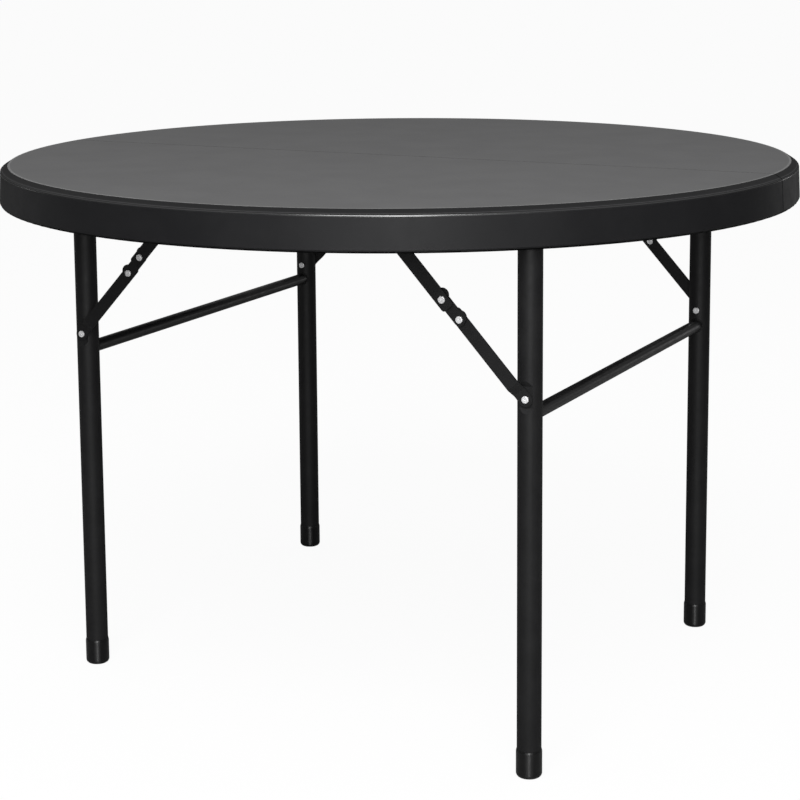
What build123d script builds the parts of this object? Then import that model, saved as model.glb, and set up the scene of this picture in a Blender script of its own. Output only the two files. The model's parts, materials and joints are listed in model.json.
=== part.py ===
from build123d import *
from math import cos, radians, sin, sqrt
import os

# Round folding table: a moulded top in two half-moons, joined rigidly along a seam,
# on two tubular leg frames that fold inward. Each leg has a knee brace of two flat
# bars and a short link. Millimetres. +Z is up, X runs along the seam from the left
# frame to the right frame, and -Y is the front. The origin is on the floor under
# the middle of the top.

# Overall sizes
table_height = 740.0
top_diameter = 1150.0

# Moulded top
rim_depth = 53.5
bevel_width = 11.0
bevel_drop = 7.0
deck_edge_radius = 2.0
rim_crest_radius = 2.5
rim_lip_height = 4.0
rim_lip_step = 0.8
rim_lip_radius = 3.0
rim_inner_radius = 1.0
skirt_flare = 2.0
skirt_wall = 5.0
deck_thickness = 6.0
rib_depth = 10.0
rib_wall = 3.0
rib_pitch = 74.0
seam_gap = 0.5
seam_chamfer = 0.7
flange_wall = 5.0
flange_depth = 18.0
slot_clearance = 1.0
pad_margin = 3.0

# Leg frames
leg_diameter = 31.75
leg_wall = 1.5
leg_spacing = 660.0
frame_stagger = 65.0
corner_clearance = 1.8
leg_top_rise = 10.0
leg_top_fillet = 5.0
pivot_headroom = 17.5
crossbar_diameter = 18.0
crossbar_wall = 1.2
crossbar_drop = 23.0
nesting_clearance = 1.6

# Foot caps
foot_height = 37.0
foot_wall = 1.0
foot_lip_height = 2.5
foot_floor = 4.0
foot_radius = 6.0

# Pressed flat on the leg where the brace is riveted
flat_depth = 2.8
flat_above = 16.5
flat_below = 11.0
flat_run = 7.0
flat_wall = 1.6

# Knee brace
brace_angle = 47.8
lower_bar_length = 128.5
link_pitch = 33.0
upper_bar_length = 117.0
bar_width = 18.0
bar_thickness = 2.0
bar_tail = 14.0
bar_tail_fillet = 4.0
bar_end_radius = 9.2
joggle_start = 12.0
joggle_run = 10.0
link_end_radius = 8.2
lobe_radius = 9.0
lobe_proud = 2.7
upper_lobe_shift = 5.0
lower_lobe_shift = 2.0

# Gaps and fits
plate_gap = 0.3
running_clearance = 0.08

# Rivets
rivet_radius = 3.0
rivet_head_radius = 4.7
rivet_head_height = 1.8
rivet_dimple_radius = 1.5
rivet_dimple_depth = 0.6
rivet_edge_radius = 1.0

# Leg pivots
pivot_radius = 4.0
pivot_head_radius = 6.5
pivot_head_height = 4.0
pivot_tip_proud = 1.0
washer_thickness = 1.5
washer_radius = 9.0
bracket_thickness = 2.5
bracket_half_width = 13.0
bracket_tongue = 50.0
bracket_screw_reach = 34.0
bracket_screw_side = 13.0

# Brace brackets
brace_ear_drop = 19.2
brace_ear_half_width = 11.0
brace_foot_half_width = 22.0
brace_foot_depth = 27.0
brace_screw_side = 13.0
brace_screw_edge = 11.0

# Cross rails, which bridge the seam
rail_width = 26.0
rail_wall = 2.0
rail_outer_margin = 17.0
rail_inner_margin = 30.0
rail_screw_pitch = 110.0
rail_screw_steps = (-2, -1, 1, 2)
rail_boss_radius = 7.0

# Screws
screw_radius = 2.4
screw_head_radius = 4.2
screw_head_height = 2.2
screw_length = 9.0

# Seam bolts
seam_bolt_radius = 3.0
seam_head_radius = 5.5
seam_head_height = 4.0
seam_bolt_step = 2

# One overrun for every cut
overrun = 5.0

# Angles
quarter_turn = 90
half_turn = 180
hex_sides = 6

# Sizes that follow
top_radius = top_diameter / 2
inner_radius = top_radius - skirt_flare - skirt_wall
leg_radius = leg_diameter / 2
crossbar_radius = crossbar_diameter / 2
deck_underside = table_height - deck_thickness
rib_underside = deck_underside - rib_depth
rim_bottom = table_height - rim_depth
seam_flange_bottom = deck_underside - flange_depth
bracket_base_bottom = rib_underside - bracket_thickness
upper_pivot_height = bracket_base_bottom - pivot_headroom
layer_drop = leg_radius + crossbar_radius + nesting_clearance
lower_pivot_height = upper_pivot_height - layer_drop
ear_inner = leg_radius + plate_gap + washer_thickness
ear_outer = ear_inner + bracket_thickness

# Layers of the brace, counted outward from the leg's axis
flat_face = leg_radius - flat_depth
bar_end_inner = flat_face + plate_gap
lower_bar_inner = leg_radius + rivet_head_height + plate_gap
link_inner = lower_bar_inner + bar_thickness + plate_gap
upper_bar_inner = link_inner + bar_thickness + rivet_head_height + 2 * plate_gap
brace_ear_inner = upper_bar_inner + bar_thickness + plate_gap
brace_ear_outer = brace_ear_inner + bracket_thickness

# Legs: the brackets of the outer legs just clear the skirt
outer_leg = leg_spacing / 2 + frame_stagger
inner_leg = leg_spacing / 2 - frame_stagger
corner_radius = inner_radius - corner_clearance
leg_offset = sqrt(corner_radius**2 - (outer_leg + ear_outer) ** 2) - bracket_half_width

# Brace pivots, in the plane of a frame's fold: reach inboard of the leg, then height
brace_length = lower_bar_length + link_pitch + upper_bar_length
brace_top_reach = brace_length * cos(radians(brace_angle))
brace_top_height = bracket_base_bottom - brace_ear_drop
leg_rivet_height = brace_top_height - brace_length * sin(radians(brace_angle))
crossbar_height = leg_rivet_height - crossbar_drop

# The four corners: side is +1 on the right frame, outward is -1 on the front half
corners = {
    "front_left": (-1, -1),
    "back_left": (-1, 1),
    "front_right": (1, -1),
    "back_right": (1, 1),
}


def leg_place(side, outward):
    """The leg axis of one corner: the frames are staggered so that they nest."""
    return side * leg_offset, outward * leg_spacing / 2 - side * frame_stagger


def pivot_height(side):
    """The right frame folds first, into the recess, and the left frame lies under it."""
    return upper_pivot_height if side > 0 else lower_pivot_height


def place(shape, side, outward):
    """Carry a corner piece, drawn with X inboard and Y outward of its leg, to its corner."""
    x, y = leg_place(side, outward)
    if side > 0 and outward < 0:
        shape = Rot(0, 0, half_turn) * shape
    elif outward < 0:
        shape = mirror(shape, about=Plane.XZ)
    elif side > 0:
        shape = mirror(shape, about=Plane.YZ)
    return Pos(x, y, 0) * shape


def along_brace(shape, distance):
    """Stand a brace piece, drawn along X from its own pivot, at its distance up the brace."""
    reach = distance * cos(radians(brace_angle))
    height = leg_rivet_height + distance * sin(radians(brace_angle))
    return Pos(reach, 0, height) * Rot(0, -brace_angle, 0) * shape


def slab(outline, inner, thickness):
    """A flat plate from an outline in X and Z, from one layer outward."""
    return extrude(Plane.XZ.offset(-inner - thickness) * outline, thickness)


def box_between(x_span, y_span, z_span):
    """A box from its limits along each axis."""
    size = [high - low for low, high in (x_span, y_span, z_span)]
    middle = [(high + low) / 2 for low, high in (x_span, y_span, z_span)]
    return Pos(*middle) * Box(*size)


def pin_along_y(radius, start, end, x=0, z=0):
    """A round pin between two places along Y."""
    return Pos(x, (start + end) / 2, z) * Rot(quarter_turn, 0, 0) * Cylinder(radius, end - start)


def domed_head():
    """A rivet head on the XY plane, with a rounded edge and a dimpled middle."""
    head = Pos(0, 0, rivet_head_height / 2) * Cylinder(rivet_head_radius, rivet_head_height)
    head = fillet(head.edges().group_by(Axis.Z)[-1], rivet_edge_radius)
    dimple = Pos(0, 0, rivet_head_height) * Cone(
        rivet_dimple_radius / 2, rivet_dimple_radius, 2 * rivet_dimple_depth
    )
    return head - dimple


def rivet(head_face, tail_face, tail_head=True):
    """A rivet along Y: its dimpled head is outward of head_face, its tail inward."""
    body = pin_along_y(rivet_radius, tail_face, head_face)
    body += Pos(0, head_face, 0) * Rot(-quarter_turn, 0, 0) * domed_head()
    if tail_head:
        body += Pos(0, tail_face, 0) * Rot(quarter_turn, 0, 0) * domed_head()
    return body


def hex_prism(flat_radius, height):
    """A hexagon bolt head or nut on the XY plane."""
    return extrude(RegularPolygon(flat_radius, hex_sides, major_radius=False), height)


def screw(x, y, face):
    """A pan-head screw driven up into the top from the face it clamps."""
    head = Pos(0, 0, -screw_head_height / 2) * Cylinder(screw_head_radius, screw_head_height)
    head = fillet(head.edges().group_by(Axis.Z)[0], screw_head_height / 2)
    return Pos(x, y, face) * (head + Pos(0, 0, screw_length / 2) * Cylinder(screw_radius, screw_length))


# Where the screws of the brackets and rails go
def leg_bracket_screws():
    spots = []
    for side, outward in corners.values():
        x, y = leg_place(side, outward)
        for across in (-bracket_screw_side, bracket_screw_side):
            spots.append((x - side * bracket_screw_reach, y + across))
    return spots


def brace_bracket_screws():
    spots = []
    for side, outward in corners.values():
        x, y = leg_place(side, outward)
        row = y + outward * (brace_ear_inner + brace_foot_depth - brace_screw_edge)
        for across in (-brace_screw_side, brace_screw_side):
            spots.append((x - side * (brace_top_reach - across), row))
    return spots


def rail_span(side):
    """The cross rail of a frame runs from its outer leg past its inner leg."""
    outer = -side * (outer_leg + rail_outer_margin)
    inner = side * (inner_leg + rail_inner_margin)
    return min(outer, inner), max(outer, inner)


def seam_bolt_places():
    """The seam is bolted midway between ribs, in every second cell that the rails leave free."""
    outermost = int(inner_radius // rib_pitch) - 1
    reaches = [(cell + 1 / 2) * rib_pitch for cell in range(outermost, -1, -seam_bolt_step)]
    clear = rail_width / 2 + slot_clearance + 2 * seam_head_radius
    return [side * reach for side in (-1, 1) for reach in reaches if abs(reach - leg_offset) > clear]


def rail_screws():
    spots = []
    for side in (-1, 1):
        for step in rail_screw_steps:
            spots.append((side * leg_offset, step * rail_screw_pitch - side * frame_stagger))
    return spots


# The moulded half-moon panels
def rim_profile():
    """Half section of the top: a flat deck, a bevel, a flared skirt and a lip rolled under it."""
    crest = table_height - bevel_drop
    skirt_top = top_radius - skirt_flare
    lip_top = rim_bottom + rim_lip_height
    lip_face = top_radius - rim_lip_step
    outline = Polyline(
        (0, table_height),
        (skirt_top - bevel_width, table_height),
        (skirt_top, crest),
        (top_radius, lip_top),
        (lip_face, lip_top - rim_lip_step),
        (lip_face, rim_bottom),
        (top_radius - skirt_wall, rim_bottom),
        (skirt_top - skirt_wall, deck_underside),
        (0, deck_underside),
        close=True,
    )
    face = make_face(Plane.XZ * outline)
    rounds = (
        (skirt_top - bevel_width, table_height, deck_edge_radius),
        (skirt_top, crest, rim_crest_radius),
        (lip_face, rim_bottom, rim_lip_radius),
        (top_radius - skirt_wall, rim_bottom, rim_inner_radius),
    )
    for x, z, size in rounds:
        corner = face.vertices().sort_by_distance((x, 0, z))[0]
        face = fillet(corner, size)
    return face


def rib_plan():
    """Ribs under the front half, cut back from the rails and clear of the skirt."""
    count = int(inner_radius // rib_pitch)
    ribs = Sketch()
    for step in range(-count, count + 1):
        ribs += Pos(step * rib_pitch, 0) * Rectangle(rib_wall, top_diameter)
    for step in range(count + 1):
        ribs += Pos(0, -(step + 1) * rib_pitch) * Rectangle(top_diameter, rib_wall)
    pads = Sketch()
    for side, outward in corners.values():
        x, y = leg_place(side, outward)
        tongue = (rail_width / 2 + slot_clearance + bracket_tongue + pad_margin) / 2
        pads += Pos(x - side * tongue, y) * Rectangle(
            bracket_tongue + pad_margin - rail_width / 2 - slot_clearance, 2 * ear_outer
        )
        row = y + outward * (brace_ear_inner + brace_foot_depth / 2)
        pads += Pos(x - side * brace_top_reach, row) * Rectangle(
            2 * brace_foot_half_width + pad_margin, brace_foot_depth + pad_margin
        )
    plan = (ribs + pads) & Circle(inner_radius)
    for side in (-1, 1):
        low, high = rail_span(side)
        plan -= Pos(side * leg_offset, (low + high) / 2) * Rectangle(
            rail_width + 2 * slot_clearance, high - low + 2 * slot_clearance
        )
    front_half = Pos(0, -top_radius / 2 - flange_wall / 2) * Rectangle(top_diameter, top_radius)
    bosses = Sketch()
    for x, y in rail_screws():
        bosses += Pos(x, y) * Circle(rail_boss_radius)
    return (plan & front_half), (bosses & front_half)


def build_front_panel():
    shell = revolve(rim_profile(), Axis.Z)
    far = top_radius + overrun
    shell &= box_between((-far, far), (-far, -seam_gap / 2), (0, table_height + overrun))
    edge = -seam_gap / 2
    groove = Polyline(
        (edge - seam_chamfer, table_height),
        (edge, table_height - seam_chamfer),
        (overrun, table_height - seam_chamfer),
        (overrun, table_height + overrun),
        (edge - seam_chamfer, table_height + overrun),
        close=True,
    )
    shell -= extrude(Plane.YZ * make_face(groove), far, both=True)
    plan, bosses = rib_plan()
    shell += extrude(Pos(0, 0, rib_underside) * plan, rib_depth)
    boss_foot = rib_underside + rail_wall
    shell += extrude(Pos(0, 0, boss_foot) * bosses, deck_underside - boss_foot)
    flange = box_between(
        (-inner_radius, inner_radius),
        (-seam_gap / 2 - flange_wall, -seam_gap / 2),
        (seam_flange_bottom, deck_underside),
    )
    for side in (-1, 1):
        half = rail_width / 2 + slot_clearance
        flange -= box_between(
            (side * leg_offset - half, side * leg_offset + half),
            (-flange_wall - overrun, overrun),
            (seam_flange_bottom - overrun, deck_underside),
        )
    shell += flange
    bolt_height = (seam_flange_bottom + deck_underside) / 2
    for x in seam_bolt_places():
        shell -= pin_along_y(seam_bolt_radius, -flange_wall - overrun, overrun, x, bolt_height)
    for x, y in leg_bracket_screws() + brace_bracket_screws() + rail_screws():
        if y < 0:
            depth = screw_length + overrun
            hole = Pos(x, y, rib_underside - overrun + depth / 2) * Cylinder(screw_radius, depth)
            shell -= hole
    return shell


# Steel pieces under the top
def build_rail(side):
    low, high = rail_span(side)
    middle = side * leg_offset
    channel = box_between(
        (middle - rail_width / 2, middle + rail_width / 2), (low, high), (rib_underside, deck_underside)
    )
    inside = rail_width / 2 - rail_wall
    channel -= box_between(
        (middle - inside, middle + inside),
        (low - overrun, high + overrun),
        (rib_underside + rail_wall, deck_underside + overrun),
    )
    for x, y in rail_screws():
        channel -= Pos(x, y, rib_underside) * Cylinder(screw_radius, 2 * rail_wall + overrun)
    return channel


def build_leg_bracket(side):
    """A clevis: two ears round the leg's top, and a tongue screwed to the top."""
    drop = pivot_height(side)
    base = box_between(
        (-bracket_half_width, bracket_tongue), (-ear_outer, ear_outer), (bracket_base_bottom, rib_underside)
    )
    tongue_corners = base.edges().filter_by(Axis.Z).group_by(Axis.X)[-1]
    base = fillet(tongue_corners, bracket_half_width / 2)
    ear_outline = Pos(0, drop) * Circle(bracket_half_width)
    ear_outline += Pos(0, (drop + bracket_base_bottom) / 2) * Rectangle(
        2 * bracket_half_width, bracket_base_bottom - drop
    )
    ear_outline -= Pos(0, drop) * Circle(pivot_radius)
    bracket = base + slab(ear_outline, ear_inner, bracket_thickness)
    bracket += slab(ear_outline, -ear_outer, bracket_thickness)
    for across in (-bracket_screw_side, bracket_screw_side):
        bracket -= Pos(bracket_screw_reach, across, bracket_base_bottom) * Cylinder(
            screw_radius, 2 * bracket_thickness + overrun
        )
    return bracket


def build_brace_bracket():
    """An angle: one ear beside the brace, and a foot screwed to the top."""
    foot = box_between(
        (-brace_foot_half_width, brace_foot_half_width),
        (brace_ear_inner, brace_ear_inner + brace_foot_depth),
        (bracket_base_bottom, rib_underside),
    )
    outer_corners = foot.edges().filter_by(Axis.Z).group_by(Axis.Y)[-1]
    foot = fillet(outer_corners, brace_ear_half_width / 2)
    outline = Pos(0, brace_top_height) * Circle(brace_ear_half_width)
    outline += make_face(
        Polyline(
            (-brace_ear_half_width, brace_top_height),
            (brace_ear_half_width, brace_top_height),
            (brace_foot_half_width, bracket_base_bottom),
            (-brace_foot_half_width, bracket_base_bottom),
            close=True,
        )
    )
    outline -= Pos(0, brace_top_height) * Circle(rivet_radius)
    bracket = foot + slab(outline, brace_ear_inner, bracket_thickness)
    for across in (-brace_screw_side, brace_screw_side):
        bracket -= Pos(
            across, brace_ear_inner + brace_foot_depth - brace_screw_edge, bracket_base_bottom
        ) * Cylinder(screw_radius, 2 * bracket_thickness + overrun)
    return Pos(brace_top_reach, 0, 0) * bracket


# Leg frames
def pressed_room(face):
    """The room of a flat pressed into the leg, from a face outward, with a ramp at each end."""
    depth = flat_depth + overrun
    run = depth * flat_run / flat_depth
    low = leg_rivet_height - flat_below
    high = leg_rivet_height + flat_above
    outline = Polyline(
        (face, low), (face, high), (face + depth, high + run), (face + depth, low - run), close=True
    )
    return extrude(Plane.YZ * make_face(outline), leg_radius, both=True)


def build_leg(side):
    """A tube with a rounded top end, a pivot hole and a pressed flat for the brace rivet."""
    top = pivot_height(side) + leg_top_rise
    height = top - foot_floor
    tube = Pos(0, 0, foot_floor + height / 2) * Cylinder(leg_radius, height)
    tube = fillet(tube.edges().group_by(Axis.Z)[-1], leg_top_fillet)
    core = leg_radius - leg_wall
    bore_top = top - leg_wall
    bore = Pos(0, 0, (bore_top + foot_floor - overrun) / 2) * Cylinder(core, bore_top - foot_floor + overrun)
    tube -= bore - pressed_room(flat_face - flat_wall)
    tube -= pressed_room(flat_face)
    tube -= pin_along_y(
        pivot_radius + running_clearance,
        -leg_radius - overrun,
        leg_radius + overrun,
        z=pivot_height(side),
    )
    tube -= pin_along_y(rivet_radius, -leg_radius - overrun, leg_radius + overrun, z=leg_rivet_height)
    return tube


def build_crossbar(side):
    """A tube between the two legs, its ends saddled to them."""
    x, front = leg_place(side, -1)
    back = leg_place(side, 1)[1]
    bar = pin_along_y(crossbar_radius, front, back, x, crossbar_height)
    bar -= pin_along_y(crossbar_radius - crossbar_wall, front, back, x, crossbar_height)
    for y in (front, back):
        bar -= Pos(x, y, crossbar_height) * Cylinder(leg_radius, 2 * crossbar_diameter)
    return bar


def build_foot():
    """A moulded cap over the tube's end, with a rounded foot and a tapered lip."""
    cap = Pos(0, 0, foot_height / 2) * Cylinder(leg_radius + foot_wall, foot_height)
    cap = fillet(cap.edges().group_by(Axis.Z)[0], foot_radius)
    wall_face = cap.faces().filter_by(GeomType.CYLINDER).sort_by(Axis.Z)[-1]
    lip = cap.edges().group_by(Axis.Z)[-1]
    cap = chamfer(lip, foot_lip_height, foot_wall / 2, reference=wall_face)
    sleeve = foot_height - foot_floor
    return cap - Pos(0, 0, foot_floor + (sleeve + overrun) / 2) * Cylinder(leg_radius, sleeve + overrun)


# Brace pieces, drawn along X from their own lower pivot
def build_lower_bar():
    """A flat bar with a round end on the leg, a joggle outward, and a squared tail."""
    end = lower_bar_length + bar_tail
    outline = Pos(end / 2, 0) * Rectangle(end, bar_width)
    outline = fillet(outline.vertices().group_by(Axis.X)[-1], bar_tail_fillet)
    outline += Circle(bar_end_radius)
    for pivot in (0, lower_bar_length):
        outline -= Pos(pivot, 0) * Circle(rivet_radius + running_clearance * (pivot == 0))
    rise = joggle_start + joggle_run
    side_view = Polyline(
        (-bar_end_radius, bar_end_inner),
        (joggle_start, bar_end_inner),
        (rise, lower_bar_inner),
        (end, lower_bar_inner),
        (end, lower_bar_inner + bar_thickness),
        (rise, lower_bar_inner + bar_thickness),
        (joggle_start, bar_end_inner + bar_thickness),
        (-bar_end_radius, bar_end_inner + bar_thickness),
        close=True,
    )
    strip = extrude(Plane.XY * make_face(side_view), bar_end_radius, both=True)
    reach = lower_bar_inner + bar_thickness
    return strip & slab(outline, 0, reach)


def build_link():
    """The short knee plate, with a lobe beside each of its two rivets."""
    outline = Pos(link_pitch / 2, 0) * Rectangle(link_pitch, 2 * link_end_radius)
    outline += Circle(link_end_radius)
    outline += Pos(link_pitch, 0) * Circle(link_end_radius)
    crown = bar_width / 2 + lobe_proud - lobe_radius
    lower_lobe = Pos(lower_lobe_shift, crown) * Circle(lobe_radius)
    upper_lobe = Pos(link_pitch + upper_lobe_shift, crown) * Circle(lobe_radius)
    outline += lower_lobe + upper_lobe
    outline -= Circle(rivet_radius + running_clearance)
    outline -= Pos(link_pitch, 0) * Circle(rivet_radius)
    return slab(outline, link_inner, bar_thickness)


def build_upper_bar():
    """A flat bar, squared at its tail past the knee and round at the bracket."""
    outline = Pos((upper_bar_length - bar_tail) / 2, 0) * Rectangle(upper_bar_length + bar_tail, bar_width)
    outline = fillet(outline.vertices().group_by(Axis.X)[0], bar_tail_fillet)
    outline += Pos(upper_bar_length, 0) * Circle(bar_width / 2)
    outline -= Circle(rivet_radius)
    outline -= Pos(upper_bar_length, 0) * Circle(rivet_radius + running_clearance)
    return slab(outline, upper_bar_inner, bar_thickness)


# Pins of one corner
def build_pivot_bolt(side):
    shank = pin_along_y(pivot_radius, -ear_outer - pivot_head_height - pivot_tip_proud, ear_outer)
    head = Pos(0, ear_outer, 0) * Rot(-quarter_turn, 0, 0) * hex_prism(pivot_head_radius, pivot_head_height)
    return Pos(0, 0, pivot_height(side)) * (shank + head)


def build_pivot_nut(side):
    nut = Pos(0, -ear_outer, 0) * Rot(quarter_turn, 0, 0) * hex_prism(pivot_head_radius, pivot_head_height)
    nut -= pin_along_y(pivot_radius, -ear_outer - 2 * pivot_head_height, 0)
    return Pos(0, 0, pivot_height(side)) * nut


def build_pivot_washers(side):
    ring = Cylinder(washer_radius, washer_thickness) - Cylinder(pivot_radius, washer_thickness + overrun)
    ring = Rot(quarter_turn, 0, 0) * ring
    seat = ear_inner - washer_thickness / 2
    return [Pos(0, where, pivot_height(side)) * ring for where in (-seat, seat)]


def build_leg_rivet():
    return Pos(0, 0, leg_rivet_height) * rivet(bar_end_inner + bar_thickness + plate_gap, -leg_radius)


def build_lower_knee_rivet():
    return rivet(link_inner + bar_thickness + plate_gap, lower_bar_inner)


def build_upper_knee_rivet():
    """The opened pivot of the linkage: the shank stops short of the link's plate."""
    return rivet(upper_bar_inner + bar_thickness, upper_bar_inner, tail_head=False)


def build_link_rivet_tail():
    """The same rivet's far end, on the link: its shoulder holds the upper bar off the lower rivet."""
    link_outer = link_inner + bar_thickness
    plug = pin_along_y(rivet_radius, link_inner, link_outer)
    plug += pin_along_y(rivet_head_radius, link_outer, upper_bar_inner - plate_gap)
    return plug + Pos(0, link_inner, 0) * Rot(quarter_turn, 0, 0) * domed_head()


def build_brace_top_rivet():
    pin = rivet(brace_ear_outer, upper_bar_inner - plate_gap)
    return Pos(brace_top_reach, 0, brace_top_height) * pin


def save(shape, name):
    export_step(shape, f"parts/{name}.step")


def main():
    os.makedirs("parts", exist_ok=True)
    front_panel = build_front_panel()
    save(front_panel, "front_top_panel")
    save(Rot(0, 0, half_turn) * front_panel, "back_top_panel")

    pins = {"brace_top_rivets": [], "leg_pivot_bolts": [], "leg_pivot_nuts": [], "leg_pivot_washers": []}
    leg_rivets = {-1: [], 1: []}
    for name, (side, outward) in corners.items():
        def at(shape):
            return place(shape, side, outward)

        save(at(build_leg(side)), f"{name}_leg")
        save(at(build_foot()), f"{name}_foot")
        save(at(build_leg_bracket(side)), f"{name}_leg_bracket")
        save(at(build_brace_bracket()), f"{name}_brace_bracket")
        knee = lower_bar_length
        upper_knee = lower_bar_length + link_pitch
        save(at(along_brace(build_lower_bar(), 0)), f"{name}_brace_lower_bar")
        save(at(along_brace(build_link(), knee)), f"{name}_knee_link")
        save(at(along_brace(build_upper_bar(), upper_knee)), f"{name}_brace_upper_bar")
        save(at(along_brace(build_lower_knee_rivet(), knee)), f"{name}_lower_knee_rivet")
        save(at(along_brace(build_upper_knee_rivet(), upper_knee)), f"{name}_upper_knee_rivet")
        save(at(along_brace(build_link_rivet_tail(), upper_knee)), f"{name}_upper_knee_rivet_tail")
        pins["brace_top_rivets"].append(at(build_brace_top_rivet()))
        pins["leg_pivot_bolts"].append(at(build_pivot_bolt(side)))
        pins["leg_pivot_nuts"].append(at(build_pivot_nut(side)))
        pins["leg_pivot_washers"] += [at(ring) for ring in build_pivot_washers(side)]
        leg_rivets[side].append(at(build_leg_rivet()))
    for name, group in pins.items():
        save(Compound(children=group), name)

    for word, side in (("left", -1), ("right", 1)):
        save(build_crossbar(side), f"{word}_crossbar")
        save(build_rail(side), f"{word}_cross_rail")
        save(Compound(children=leg_rivets[side]), f"{word}_leg_rivets")

    screws = [screw(x, y, bracket_base_bottom) for x, y in leg_bracket_screws() + brace_bracket_screws()]
    save(Compound(children=screws), "bracket_screws")
    save(Compound(children=[screw(x, y, rib_underside) for x, y in rail_screws()]), "rail_screws")

    bolt_height = (seam_flange_bottom + deck_underside) / 2
    clamp = seam_gap / 2 + flange_wall
    bolts = []
    nuts = []
    for x in seam_bolt_places():
        spot = Pos(x, 0, bolt_height)
        shank = pin_along_y(seam_bolt_radius, -clamp, clamp + seam_head_height)
        head = Pos(0, -clamp, 0) * Rot(quarter_turn, 0, 0) * hex_prism(seam_head_radius, seam_head_height)
        nut = Pos(0, clamp, 0) * Rot(-quarter_turn, 0, 0) * hex_prism(seam_head_radius, seam_head_height)
        nut -= pin_along_y(seam_bolt_radius, 0, clamp + 2 * seam_head_height)
        bolts.append(spot * (shank + head))
        nuts.append(spot * nut)
    save(Compound(children=bolts), "seam_bolts")
    save(Compound(children=nuts), "seam_nuts")


main()
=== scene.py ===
# %% [markdown]
# # A round folding table, dressed for its portrait
# The solids of the table are already built and packed: two moulded half-moon panels, two
# tubular leg frames and four knee braces. This lesson gives them their finishes, adds the
# weld beads and the seam strip that a drawing leaves out, and sets the floor, the light
# and the camera. Everything is in metres. The floor is at height 0, and the seam of the
# top runs along X through the middle.

# %% Load the frame
import json
from math import radians

import bpy
from mathutils import Matrix, Vector


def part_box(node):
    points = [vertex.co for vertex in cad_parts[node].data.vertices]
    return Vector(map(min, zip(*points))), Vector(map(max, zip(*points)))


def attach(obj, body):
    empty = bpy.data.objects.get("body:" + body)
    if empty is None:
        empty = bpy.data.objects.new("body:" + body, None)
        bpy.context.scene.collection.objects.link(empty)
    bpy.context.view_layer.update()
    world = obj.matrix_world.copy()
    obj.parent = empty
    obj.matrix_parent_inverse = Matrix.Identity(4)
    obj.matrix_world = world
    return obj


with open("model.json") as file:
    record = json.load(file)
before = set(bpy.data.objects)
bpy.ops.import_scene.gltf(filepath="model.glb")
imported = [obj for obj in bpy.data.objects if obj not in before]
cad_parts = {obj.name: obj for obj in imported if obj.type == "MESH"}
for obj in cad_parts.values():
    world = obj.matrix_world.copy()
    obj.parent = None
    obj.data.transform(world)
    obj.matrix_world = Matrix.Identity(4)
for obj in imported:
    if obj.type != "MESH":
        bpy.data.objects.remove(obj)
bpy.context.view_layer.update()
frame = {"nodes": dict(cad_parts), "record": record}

# %% [markdown]
# ## A short way to write materials
# A material is a graph of nodes, and each node takes a few lines to make and to link. The
# helpers in the next cells make that one line each, so that a finish reads like a recipe.
# Patterns read Object coordinates, which are the table's own metres. So a grain of a
# millimetre stays a millimetre on every piece, and stays in its place when a leg folds.

# %% Add and link nodes
millimetre = 0.001


def feed(socket, value):
    """Link an output to a socket, or set the socket's own value."""
    if isinstance(value, bpy.types.NodeSocket):
        socket.id_data.links.new(value, socket)
    else:
        socket.default_value = value


def feed_all(node, inputs):
    """Feed a node's inputs by name, with _ for each space."""
    for name, value in inputs.items():
        feed(node.inputs[name.replace("_", " ")], value)


def add(tree, kind, **inputs):
    node = tree.nodes.new(kind)
    feed_all(node, inputs)
    return node


print("nodes can be added and linked")


# %% Start and shade a material
def start_material(name):
    """A new material with a shader and the piece's own coordinates."""
    material = bpy.data.materials.new(name)
    material.use_nodes = True
    add(material.node_tree, "ShaderNodeTexCoord")
    return material


def shade(tree, **inputs):
    """Feed the shader's own sockets."""
    feed_all(tree.nodes["Principled BSDF"], inputs)


print("materials can be started and shaded")

# %% [markdown]
# Where a finish changes from one region to the next, a coordinate is turned into a mask
# between 0 and 1. Where it is uneven, a noise pattern is. Both go through the same
# helper, which carries a value from one range to another and stops at its ends.

# %% Read places and patterns
whole = (0.0, 1.0)  # a range that rises from 0 to 1
falling = (1.0, 0.0)  # the same, turned over


def place_on(tree):
    return tree.nodes["Texture Coordinate"].outputs["Object"]


def coordinate(tree, axis):
    return add(tree, "ShaderNodeSeparateXYZ", Vector=place_on(tree)).outputs[axis]


def noise(tree, size, detail=2.0, roughness=0.5):
    """Noise with features of about the given size."""
    return add(
        tree, "ShaderNodeTexNoise", Vector=place_on(tree), Scale=1 / size,
        Detail=detail, Roughness=roughness,
    ).outputs["Fac"]


def span(value, start, end=whole):
    """Carry a value from one range to another."""
    low, high = start
    first, last = end
    return add(
        value.id_data, "ShaderNodeMapRange", Value=value,
        From_Min=low, From_Max=high, To_Min=first, To_Max=last,
    ).outputs["Result"]


print("places and patterns can be read")


# %% Combine values and mix colours
def combine(first, second, operation="ADD"):
    node = add(first.id_data, "ShaderNodeMath")
    node.operation = operation
    feed(node.inputs[0], first)
    feed(node.inputs[1], second)
    return node.outputs["Value"]


def distance(value, target=0.0):
    """How far a value is from its target, on either side."""
    if target:
        value = combine(value, target, "SUBTRACT")
    return combine(value, 0.0, "ABSOLUTE")


def mix(share, first, second):
    """Mix two colours, each a triple of numbers or another node's output."""
    node = add(share.id_data, "ShaderNodeMix")
    node.data_type = "RGBA"
    feed(node.inputs["Factor"], share)
    for socket, color in zip((node.inputs[6], node.inputs[7]), (first, second)):
        feed(socket, (*color, 1) if isinstance(color, tuple) else color)
    return node.outputs[2]


print("values can be combined and colours mixed")


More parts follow.
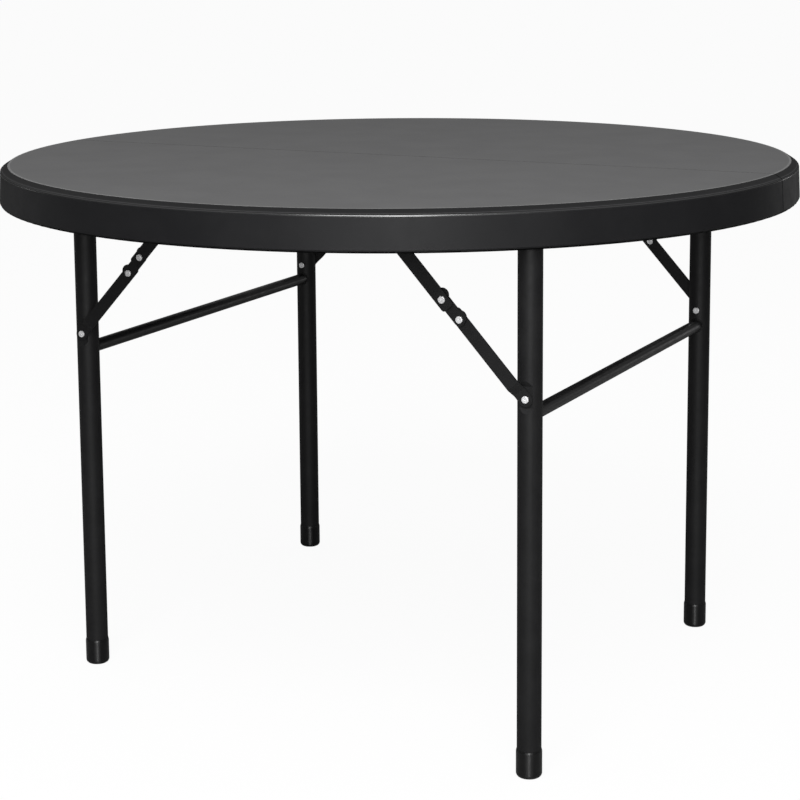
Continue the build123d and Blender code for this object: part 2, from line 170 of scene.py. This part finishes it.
# %% Bend the shading
def bump(tree, relief, depth, strength):
    """Bend the shading by a pattern, at a real depth, on top of earlier bumps."""
    node = add(tree, "ShaderNodeBump", Height=relief, Distance=depth, Strength=strength)
    normal = tree.nodes["Principled BSDF"].inputs["Normal"]
    if normal.is_linked:
        feed(node.inputs["Normal"], normal.links[0].from_socket)
    feed(normal, node.outputs["Normal"])


print("shading can be bent")

# %% [markdown]
# ## The moulded top
# The top is dark plastic. Its deck has a fine leathery grain from the mould, which
# scatters light. Its mid grey is painted: partly the deck's own tone, partly a painted
# sheen that stands in for that scattered light. The bevel and the skirt are smoother
# and look almost black, and the fold between them, called the crest here, catches the
# light as a thin bright line. Two materials would need a cut in the mesh along that
# fold. One material with masks needs none, and it can fade from one region to the next.
# The places of the regions come from the boxes of the solids.

# %% Find the edges of the regions
top_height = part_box("front_top_panel")[1].z
rim_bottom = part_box("front_top_panel")[0].z
rim_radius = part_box("front_top_panel")[1].x
deck_radius = rim_radius - 13 * millimetre
deck_drop = 0.32 * millimetre
bevel_foot = top_height - 7 * millimetre
crest_height = top_height - 7.55 * millimetre
crest_half = 1.3 * millimetre

deck_fade = (top_height - deck_drop, top_height - deck_drop / 3)
bevel_fade = (bevel_foot - crest_half, bevel_foot + crest_half)
crest_fade = (0.6 * crest_half, crest_half)
worn_and_highlight_fade = (deck_radius - 3.5 * millimetre, deck_radius - 2.5 * millimetre)
seam_fade = (0.9 * millimetre, 1.9 * millimetre)
hem_fade = (rim_bottom + 1.6 * millimetre, rim_bottom + 3.2 * millimetre)
below_fade = (top_height - 5.4 * millimetre, top_height - 4.6 * millimetre)
within_fade = (rim_radius - 4.8 * millimetre, rim_radius - 4.2 * millimetre)
print("deck at", round(top_height, 4), "rim from", round(rim_bottom, 4))
print("rim radius", round(rim_radius, 4), "deck radius", round(deck_radius, 4))


# %% Tell the regions apart
def reach_from_middle(tree):
    """The distance from the upright axis through the middle of the table."""
    level = add(tree, "ShaderNodeVectorMath", Vector=place_on(tree))
    level.operation = "MULTIPLY"
    level.inputs[1].default_value = (1, 1, 0)
    reach = add(tree, "ShaderNodeVectorMath", Vector=level.outputs[0])
    reach.operation = "LENGTH"
    return reach.outputs["Value"]


def panel_regions(tree):
    """A mask of 0 to 1 for each region of a panel."""
    height = coordinate(tree, "Z")
    reach = reach_from_middle(tree)
    on = {
        "deck": span(height, deck_fade),
        "bevel": span(height, bevel_fade),
        "crest": span(distance(height, crest_height), crest_fade, falling),
        "worn ring and painted highlight": span(reach, worn_and_highlight_fade),
        "seam": span(distance(coordinate(tree, "Y")), seam_fade, falling),
    }
    hem = span(height, hem_fade, falling)
    on["seam or hem"] = combine(on["seam"], hem, "MAXIMUM")
    below = span(height, below_fade, falling)
    within = span(reach, within_fade, falling)
    on["inside"] = combine(below, within, "MULTIPLY")
    return on


print("regions of a panel can be told apart")

# %% [markdown]
# The colours are each region's own tone, with painted light and shade laid in. The deck
# is faintly cloudy, with darker pores, and its grey is partly painted sheen. A ring at its
# edge is pale, partly from wear and partly as a painted highlight. The rim is darker on
# the bevel, a painted shade, and paler inside the recess, painted light that lifts the
# shade there. The seam and the hem, which is the skirt's lowest few millimetres, are
# darkest, in painted shade.

# %% Colour the regions
# Partly the deck's own grey, partly painted sheen that lifts it above the rim's black.
deck_grey_and_painted_sheen = (0.106, 0.106, 0.107)
deck_pale_grey_and_painted_sheen = (0.113, 0.113, 0.114)
# A pale ring at the deck's edge: partly wear, partly a painted highlight on the edge.
deck_worn_grey_and_painted_highlight = (0.2, 0.2, 0.2)
pore_grey = (0.085, 0.085, 0.085)
# Painted shade: the deck is darker along the seam, where the groove is in shade.
seam_painted_shade_grey = (0.07, 0.07, 0.07)
rim_black = (0.0078, 0.0078, 0.0086)
rim_black_pale = (0.0095, 0.0095, 0.0103)
# Painted shade: the bevel is darker than the skirt, which is the same plastic.
bevel_painted_shade = (0.0055, 0.0055, 0.0060)
# Painted light: the inside of the rim is paler, to lift the shade under the top.
inside_painted_light = (0.045, 0.045, 0.046)
# Painted shadow on the hem, the skirt's rounded lowest edge, and along the seam.
seam_and_hem_painted_shade = (0.001, 0.001, 0.001)
worn_and_highlight_share = 0.6
pore_share = 0.2
noise_middle = (0.35, 0.65)


def deck_color(on, clouds, fine):
    pores = span(fine, noise_middle, (0.0, pore_share))
    # The ring at the deck's edge is partly wear and partly a painted highlight.
    worn = combine(on["worn ring and painted highlight"], worn_and_highlight_share, "MULTIPLY")
    # The cloudy base grey of the deck, partly painted sheen.
    color = mix(clouds, deck_grey_and_painted_sheen, deck_pale_grey_and_painted_sheen)
    color = mix(pores, color, pore_grey)
    color = mix(worn, color, deck_worn_grey_and_painted_highlight)
    # Painted shade along the seam.
    return mix(on["seam"], color, seam_painted_shade_grey)


def rim_color(on, clouds):
    color = mix(clouds, rim_black, rim_black_pale)
    # Painted shade on the bevel.
    color = mix(on["bevel"], color, bevel_painted_shade)
    # Painted light inside the recess.
    color = mix(on["inside"], color, inside_painted_light)
    # Painted shade on the seam and the hem.
    return mix(on["seam or hem"], color, seam_and_hem_painted_shade)


print("deck grey", deck_grey_and_painted_sheen, "rim black", rim_black)

# %% [markdown]
# Roughness and gloss follow the same masks. The crest is smooth and the glossiest, the
# skirt is satin, and the deck is duller still. Light scuffs are laid over all of them.

# %% Finish the panels
rim_roughness = 0.5
crest_roughness = 0.2
deck_roughness_more = 0.14
scuff_roughness_more = 0.08
rim_gloss = 0.2
crest_gloss = 1.0
hem_gloss_share = 0.1
cloud_size = 60 * millimetre
pore_size = 1.6 * millimetre
scuff_size = 30 * millimetre
scuff_fade = (0.45, 0.75)
grain_size = 1.5 * millimetre
grain_depth = 0.12 * millimetre
pore_depth = 0.02 * millimetre


def panel_roughness(tree, on):
    scuffs = noise(tree, scuff_size, detail=6.0, roughness=0.7)
    roughness = span(on["crest"], whole, (rim_roughness, crest_roughness))
    roughness = combine(roughness, span(on["deck"], whole, (0.0, deck_roughness_more)))
    return combine(roughness, span(scuffs, scuff_fade, (0.0, scuff_roughness_more)))


def panel_gloss(on):
    gloss = span(on["crest"], whole, (rim_gloss, crest_gloss))
    kept = span(on["seam or hem"], whole, (1.0, hem_gloss_share))
    return combine(gloss, kept, "MULTIPLY")


def deck_grain(tree, on):
    """Rounded pebbles, on the deck alone."""
    grain = add(tree, "ShaderNodeTexVoronoi", Vector=place_on(tree), Scale=1 / grain_size)
    grain.feature = "SMOOTH_F1"
    return combine(grain.outputs["Distance"], on["deck"], "MULTIPLY")


def moulded_plastic(name):
    plastic = start_material(name)
    tree = plastic.node_tree
    on = panel_regions(tree)
    clouds = span(noise(tree, cloud_size, detail=3.0), noise_middle)
    fine = noise(tree, pore_size, detail=3.0, roughness=0.6)
    shade(
        tree,
        Base_Color=mix(on["deck"], rim_color(on, clouds), deck_color(on, clouds, fine)),
        Roughness=panel_roughness(tree, on),
        Specular_IOR_Level=panel_gloss(on),
    )
    bump(tree, deck_grain(tree, on), grain_depth, strength=0.5)
    bump(tree, fine, pore_depth, strength=0.4)
    return plastic


panel_finish = moulded_plastic("moulded_top")
print(panel_finish.name, len(panel_finish.node_tree.nodes), "nodes")

# %% [markdown]
# ## Powder-coated steel
# Legs, crossbars, braces and brackets are steel under a satin black powder coat. Powder
# flows out in the oven with a faint orange peel, a few millimetres across, and dust
# settles on it. A photo texture would repeat along the tubes. Noise does not, so one
# noise bends the shading, one moves the roughness, and one lays the dust. The crossbars
# get a smoother coat of their own, because they catch a sharper line of light.

# %% Coat the steel
enamel_black = (0.0075, 0.0075, 0.0079)
enamel_dusty = (0.012, 0.012, 0.0124)
dust_size = 35 * millimetre
dust_fade = (0.4, 0.8)
uneven_size = 12 * millimetre
uneven_fade = (0.3, 0.7)
smoother = 0.05
rougher = 0.06
peel_size = 2.4 * millimetre
speck_size = 0.5 * millimetre
speck_depth = 0.006 * millimetre


def powder_coat(name, roughness, gloss, peel_depth):
    coat = start_material(name)
    tree = coat.node_tree
    dust = span(noise(tree, dust_size, detail=6.0, roughness=0.65), dust_fade)
    uneven = noise(tree, uneven_size, detail=3.0)
    shade(
        tree,
        Base_Color=mix(dust, enamel_black, enamel_dusty),
        Roughness=span(uneven, uneven_fade, (roughness - smoother, roughness + rougher)),
        Specular_IOR_Level=gloss,
    )
    bump(tree, noise(tree, peel_size, detail=1.5), peel_depth, strength=0.8)
    bump(tree, noise(tree, speck_size, detail=1.0), speck_depth, strength=0.6)
    return coat


enamel_finish = powder_coat(
    "powder_coat", roughness=0.52, gloss=0.22, peel_depth=0.035 * millimetre
)
crossbar_finish = powder_coat(
    "crossbar_coat", roughness=0.34, gloss=0.5, peel_depth=0.008 * millimetre
)
print(enamel_finish.name, crossbar_finish.name)

# %% [markdown]
# ## Foot caps
# The feet are injection-moulded caps, blacker and glossier than the legs. Each shows one
# tall, narrow streak of light, which a smooth round cap spreads too wide. Brushing the
# gloss round the cap's upright axis, with an anisotropic shader, keeps it narrow. Floors
# scratch the caps, so their lowest few millimetres are duller and a little grey.

# %% Finish the feet
foot_black = (0.0015, 0.0015, 0.0017)
foot_scuffed = (0.02, 0.02, 0.02)
foot_roughness = 0.33
foot_roughness_worn = 0.55
wear_fade = (0.5 * millimetre, 5 * millimetre)
scratch_size = 3 * millimetre
scratch_fade = (0.4, 0.7)
ripple_size = 4 * millimetre
ripple_depth = 0.02 * millimetre


def foot_wear(tree):
    """Scratches, in the lowest few millimetres only."""
    low = span(coordinate(tree, "Z"), wear_fade, falling)
    scratches = span(noise(tree, scratch_size, detail=5.0), scratch_fade)
    return combine(low, scratches, "MULTIPLY")


def foot_plastic():
    plastic = start_material("foot_moulding")
    tree = plastic.node_tree
    worn = foot_wear(tree)
    rings = add(tree, "ShaderNodeTangent")
    rings.direction_type = "RADIAL"
    rings.axis = "Z"
    shade(
        tree,
        Base_Color=mix(worn, foot_black, foot_scuffed),
        Roughness=span(worn, whole, (foot_roughness, foot_roughness_worn)),
        Specular_IOR_Level=0.55,
        Anisotropic=0.9,
        Anisotropic_Rotation=0.25,
        Tangent=rings.outputs["Tangent"],
    )
    bump(tree, noise(tree, ripple_size, detail=2.0), ripple_depth, strength=0.5)
    return plastic


foot_finish = foot_plastic()
print(foot_finish.name)

# %% [markdown]
# ## Zinc-plated fasteners
# Rivets, bolts and screws are zinc-plated steel, bright and slightly milky, with small
# swirls from the barrel in which they are plated. A full metal would turn black wherever
# it mirrors the dark table, and the milky plating does not, so it is metal only in part.

# %% Plate the fasteners
zinc_bright = (0.9, 0.9, 0.91)
zinc_dull = (0.8, 0.8, 0.81)
zinc_roughness = 0.3
swirl_size = 1.2 * millimetre
swirl_depth = 0.006 * millimetre


def zinc_plate():
    plate = start_material("zinc_plate")
    tree = plate.node_tree
    swirl = noise(tree, swirl_size, detail=3.0, roughness=0.6)
    shade(
        tree,
        Base_Color=mix(span(swirl, noise_middle), zinc_bright, zinc_dull),
        Roughness=span(swirl, uneven_fade, (zinc_roughness - 0.06, zinc_roughness + 0.06)),
        Metallic=0.4,
    )
    bump(tree, swirl, swirl_depth, strength=0.3)
    return plate


zinc_finish = zinc_plate()
print(zinc_finish.name)

# %% [markdown]
# ## Nylon washers
# The washers that the legs turn between are natural nylon, a cloudy off-white. They are
# hidden under the top unless the table is seen from below, so a few nodes will do.

# %% Finish the washers
nylon_pale = (0.62, 0.61, 0.57)
nylon_dull = (0.52, 0.51, 0.47)
washer_cloud_size = 4 * millimetre
washer_cloud_depth = 0.02 * millimetre


def nylon():
    washer = start_material("nylon")
    tree = washer.node_tree
    cloud = noise(tree, washer_cloud_size, detail=3.0)
    shade(
        tree,
        Base_Color=mix(span(cloud, noise_middle), nylon_pale, nylon_dull),
        Roughness=0.45,
    )
    bump(tree, cloud, washer_cloud_depth, strength=0.5)
    return washer


nylon_finish = nylon()
print(nylon_finish.name)

# %% [markdown]
# ## Dress every solid
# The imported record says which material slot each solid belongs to, so one table from slot
# to finish dresses them all, and nothing can be forgotten. Only the two crossbars get
# another coat than their slot's.

# %% Give the solids their finishes
finishes = {
    "top_moulding": panel_finish,
    "black_enamel": enamel_finish,
    "foot_moulding": foot_finish,
    "zinc_plate": zinc_finish,
    "washer_moulding": nylon_finish,
}
slot_of = {part["node"]: part["material_slot"] for part in frame["record"]["subparts"]}


def dress(piece, finish):
    piece.data.materials.clear()
    piece.data.materials.append(finish)


for node, piece in frame["nodes"].items():
    dress(piece, finishes[slot_of[node]])
for side in ("left", "right"):
    dress(frame["nodes"][f"{side}_crossbar"], crossbar_finish)
print(len(slot_of), "solids dressed")

# %% [markdown]
# ## Weld beads
# Each crossbar butts against its two legs and is welded all round. The bead is a ring
# that has to follow the saddle where a tube meets a tube. It could be drawn by formula,
# but a welder's way is shorter. A circle stands upright beside the leg, a Shrinkwrap
# pushes it along the bar onto the leg's side, and a bevelled curve makes it a bead.

# %% Measure the tubes
def middle(node):
    low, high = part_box(node)
    return (low + high) / 2


def radius(node):
    """The radius of a tube that runs upright or along Y, from its box's width along X."""
    low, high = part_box(node)
    return (high.x - low.x) / 2


print("leg radius", round(radius("front_left_leg"), 5))
print("crossbar radius", round(radius("left_crossbar"), 5))


# %% Draw a ring onto the side of a leg
ring_points = 48


def deselect():
    bpy.ops.object.select_all(action="DESELECT")


def add_ring(name, place, ring_radius):
    """An upright circle that faces along Y."""
    deselect()
    bpy.ops.mesh.primitive_circle_add(
        vertices=ring_points, radius=ring_radius, location=place,
        rotation=(radians(90), 0, 0),
    )
    ring = bpy.context.object
    ring.name = name
    bpy.ops.object.transform_apply(location=True, rotation=True, scale=True)
    return ring


def drape(ring, leg):
    """Push a ring along Y, either way, until it lies on a leg."""
    wrap = ring.modifiers.new("drape", "SHRINKWRAP")
    wrap.target = frame["nodes"][leg]
    wrap.wrap_method = "PROJECT"
    wrap.use_project_y = True
    wrap.use_project_x = wrap.use_project_z = False
    wrap.use_negative_direction = wrap.use_positive_direction = True
    bpy.ops.object.modifier_apply(modifier=wrap.name)


print("rings can be drawn")

# %% [markdown]
# The ring is a third of the bead's radius wider than the bar, so the bead bites into the
# bar and the leg and leaves no gap. It rides on the leg frame and folds with it.

# %% Weld the crossbars to their legs
bead_radius = 1.3 * millimetre


def weld_bead(name, bar, leg, body):
    """A ring round the end of a crossbar, draped on the side of a leg."""
    inward = 1 if middle(bar).y > middle(leg).y else -1
    beside = middle(leg).y + inward * 2 * radius(leg)
    place = Vector((middle(bar).x, beside, middle(bar).z))
    bead = add_ring(name, place, radius(bar) + bead_radius / 3)
    drape(bead, leg)
    bpy.ops.object.convert(target="CURVE")
    bead.data.bevel_depth = bead_radius
    bead.data.bevel_resolution = 3
    bpy.ops.object.convert(target="MESH")
    bpy.ops.object.shade_smooth()
    dress(bead, enamel_finish)
    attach(bead, body)
    return bead


for side in ("left", "right"):
    for end in ("front", "back"):
        leg = f"{end}_{side}_leg"
        bead = weld_bead(
            f"{end}_{side}_weld_bead", f"{side}_crossbar", leg, f"{side}_leg_frame"
        )
        print(bead.name, len(bead.data.polygons), "faces")

# %% [markdown]
# ## Seam strip
# The two panels stand half a millimetre apart, and on a real top a thin strip between
# their flanges keeps crumbs and light from coming through. It starts as a plane on edge
# along the seam. Bisects mark where the bevel and the skirt begin, the top corners are
# lowered to stay under the bevel, and the two ends are extruded down into the skirt.
# Solidify then makes it as thick as the gap.

# %% Measure the seam
seam_gap = 0.5 * millimetre
strip_top = top_height - 0.8 * millimetre
strip_bottom = top_height - 23.5 * millimetre
strip_foot = rim_bottom + 1.5 * millimetre
strip_end = rim_radius - 2.7 * millimetre
skirt_start = rim_radius - 5.2 * millimetre
bevel_start = rim_radius - 14 * millimetre
bevel_slope = 7 / 11
hair = 0.1 * millimetre
print("strip from", round(strip_foot, 4), "to", round(strip_top, 4))


# %% Shape a mesh by the places of its points
def set_mode(mode):
    bpy.ops.object.mode_set(mode=mode)


def select_points(mesh, wanted):
    """Go into edit mode with the points selected for which a test holds."""
    set_mode("EDIT")
    bpy.ops.mesh.select_all(action="DESELECT")
    set_mode("OBJECT")
    for point in mesh.vertices:
        point.select = wanted(point.co)
    set_mode("EDIT")


def cut_across(place):
    """Cut the mesh in edit mode by an upright plane at a place along X."""
    bpy.ops.mesh.select_all(action="SELECT")
    bpy.ops.mesh.bisect(plane_co=(place, 0, 0), plane_no=(1, 0, 0))


print("points can be selected and meshes cut")


# %% Start the strip as a plane on edge
def add_strip():
    deselect()
    centre = (strip_top + strip_bottom) / 2
    bpy.ops.mesh.primitive_plane_add(size=1, location=(0, 0, centre))
    strip = bpy.context.object
    strip.name = "seam_strip"
    strip.scale = (2 * strip_end, strip_top - strip_bottom, 1)
    strip.rotation_euler = (radians(90), 0, 0)
    bpy.ops.object.transform_apply(location=True, rotation=True, scale=True)
    return strip


strip = add_strip()
print(strip.name, "starts with", len(strip.data.vertices), "points")


# %% Fit it under the bevel and into the skirt
def lower_corner(strip, place):
    """Lower the strip's top edge at a place along X, on both sides."""
    select_points(
        strip.data,
        lambda at: abs(abs(at.x) - place) < hair and at.z > strip_top - hair,
    )
    drop = bevel_slope * (place - bevel_start)
    bpy.ops.transform.translate(value=(0, 0, -drop))
    set_mode("OBJECT")


def shape_strip(strip):
    set_mode("EDIT")
    for place in (-skirt_start, -bevel_start, bevel_start, skirt_start):
        cut_across(place)
    set_mode("OBJECT")
    for place in (skirt_start, strip_end):
        lower_corner(strip, place)
    select_points(
        strip.data,
        lambda at: abs(at.x) > skirt_start - hair and at.z < strip_bottom + hair,
    )
    bpy.ops.mesh.extrude_region_move(
        TRANSFORM_OT_translate={"value": (0, 0, strip_foot - strip_bottom)}
    )
    set_mode("OBJECT")


shape_strip(strip)
print(strip.name, "has", len(strip.data.vertices), "points")

# %% Make it as thick as the gap
wall = strip.modifiers.new("wall", "SOLIDIFY")
wall.thickness = seam_gap
wall.offset = 0
bpy.ops.object.modifier_apply(modifier=wall.name)
dress(strip, panel_finish)
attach(strip, "top")
print(strip.name, len(strip.data.polygons), "faces")

# %% [markdown]
# ## Floor
# A plain pale floor that keeps the table's soft shadow. The camera sees it close to white
# because most of its colour is emission for camera rays alone, which lights nothing. For
# all other rays it is a dim grey, as the reflections on the dark legs and skirt ask for.
# Its back is clear, so the underside of the table can be looked at from below.

# %% Mix the floor's material
floor_dim = (0.25, 0.25, 0.25)
floor_pale = (0.9, 0.9, 0.9)
floor_glow_share = 0.94


def blend(share, first, second):
    """Mix two shaders."""
    node = add(share.id_data, "ShaderNodeMixShader")
    for socket, value in zip(node.inputs, (share, first.outputs[0], second.outputs[0])):
        feed(socket, value)
    return node


def floor_material():
    material = bpy.data.materials.new("floor")
    material.use_nodes = True
    tree = material.node_tree
    tree.nodes.clear()
    seen = add(tree, "ShaderNodeLightPath").outputs["Is Camera Ray"]
    behind = add(tree, "ShaderNodeNewGeometry").outputs["Backfacing"]
    paint = add(tree, "ShaderNodeBsdfDiffuse", Color=mix(seen, floor_dim, floor_pale))
    glow = add(tree, "ShaderNodeEmission")
    front = blend(combine(seen, floor_glow_share, "MULTIPLY"), paint, glow)
    floor_sides = blend(behind, front, add(tree, "ShaderNodeBsdfTransparent"))
    add(tree, "ShaderNodeOutputMaterial", Surface=floor_sides.outputs[0])
    return material


print("floor can be painted")

# %% Lay the floor
floor_width = 60

deselect()
bpy.ops.mesh.primitive_plane_add(size=floor_width, location=(0, 0, 0))
floor = bpy.context.object
floor.name = "floor"
dress(floor, floor_material())
print(floor.name, "laid")

# %% [markdown]
# ## Room
# The room is white for the camera, at a strength of 1. For all other rays it is dim near
# the ground and brighter overhead, because the photograph's skirt and legs are dark at
# their sides and its deck is evenly lit. An image of a studio would do this too, but a
# gradient by height is enough for plain surfaces.

# %% Set the room
room_low = 0.04
room_high = 0.68
room_fade = (0.1, 1.0)
white = (1, 1, 1, 1)


def set_room():
    world = bpy.data.worlds.new("room")
    bpy.context.scene.world = world
    world.use_nodes = True
    tree = world.node_tree
    tree.nodes.clear()
    seen = add(tree, "ShaderNodeLightPath").outputs["Is Camera Ray"]
    direction = add(tree, "ShaderNodeTexCoord").outputs["Generated"]
    rise = add(tree, "ShaderNodeSeparateXYZ", Vector=direction).outputs["Z"]
    glow = span(rise, room_fade, (room_low, room_high))
    lit = add(tree, "ShaderNodeBackground", Color=white, Strength=glow)
    shown = add(tree, "ShaderNodeBackground", Color=white, Strength=1.0)
    room = blend(seen, lit, shown)
    add(tree, "ShaderNodeOutputWorld", Surface=room.outputs[0])
    return world


print(set_room().name, "set")

# %% [markdown]
# ## Soft boxes
# Two soft boxes stand behind the camera: a tall narrow one draws the streak down each
# leg, and a wide one lights the middle of the skirt. A third hangs above the camera and
# makes the bright line on the crest of the rim. Two small ones low at the sides lift the
# ends of the skirt. The camera doesn't see any of them, so other views of the table stay
# clean. Lamps of this kind have a size, and a large one gives soft edges to a shadow.

# %% Hang the soft boxes
soft_boxes = {
    # name: (place, aimed at, width, height, watts)
    "front_wall": ((1.85, -3.77, 1.3), (0, 0, 1.3), 0.9, 2.4, 58),
    "front_screen": ((1.86, -3.79, 1.3), (0, 0, 1.3), 4.6, 2.4, 42),
    "front_roof": ((1.10, -2.80, 3.7), (0, 0, 0.7), 2.3, 2.2, 150),
    "left_edge": ((-3.2, 0.1, 0.4), (0, 0, 0.6), 0.4, 0.6, 0.8),
    "right_edge": ((1.2, 2.9, 0.4), (0, 0, 0.6), 0.3, 0.6, 1.0),
}


def hang_soft_box(name, place, target, width, height, watts):
    light = bpy.data.lights.new(name, "AREA")
    light.shape = "RECTANGLE"
    light.size, light.size_y = width, height
    light.energy = watts
    box = bpy.data.objects.new(name, light)
    bpy.context.scene.collection.objects.link(box)
    box.location = place
    aim = Vector(target) - Vector(place)
    box.rotation_euler = aim.to_track_quat("-Z", "Y").to_euler()
    box.visible_camera = False


for name, settings in soft_boxes.items():
    hang_soft_box(name, *settings)
print(len(soft_boxes), "soft boxes hung")

# %% [markdown]
# ## Camera
# The photograph was taken from the right of the front, a little above the deck, with a
# long lens. Its legs are upright, as with a lens that is shifted far down. A small shift
# keeps some of that look, and the camera leans down for the rest, so that other views,
# which keep the shift, still have the table in the frame.

# %% Set the camera
camera_place = (1.4074, -2.8722, 1.1053)
camera_yaw = 26.111
camera_pitch = 9.536
camera_roll = -0.404
camera_lens = 99.38
camera_sensor = 36
camera_shift = -0.16

camera = bpy.data.objects.new("camera", bpy.data.cameras.new("camera"))
bpy.context.scene.collection.objects.link(camera)
camera.matrix_world = (
    Matrix.Translation(camera_place)
    @ Matrix.Rotation(radians(camera_yaw), 4, "Z")
    @ Matrix.Rotation(radians(90 - camera_pitch), 4, "X")
    @ Matrix.Rotation(radians(camera_roll), 4, "Z")
)
camera.data.lens = camera_lens
camera.data.sensor_width = camera_sensor
camera.data.shift_y = camera_shift
bpy.context.scene.camera = camera
bpy.context.scene.view_settings.view_transform = "Standard"
print("camera at", camera_place)
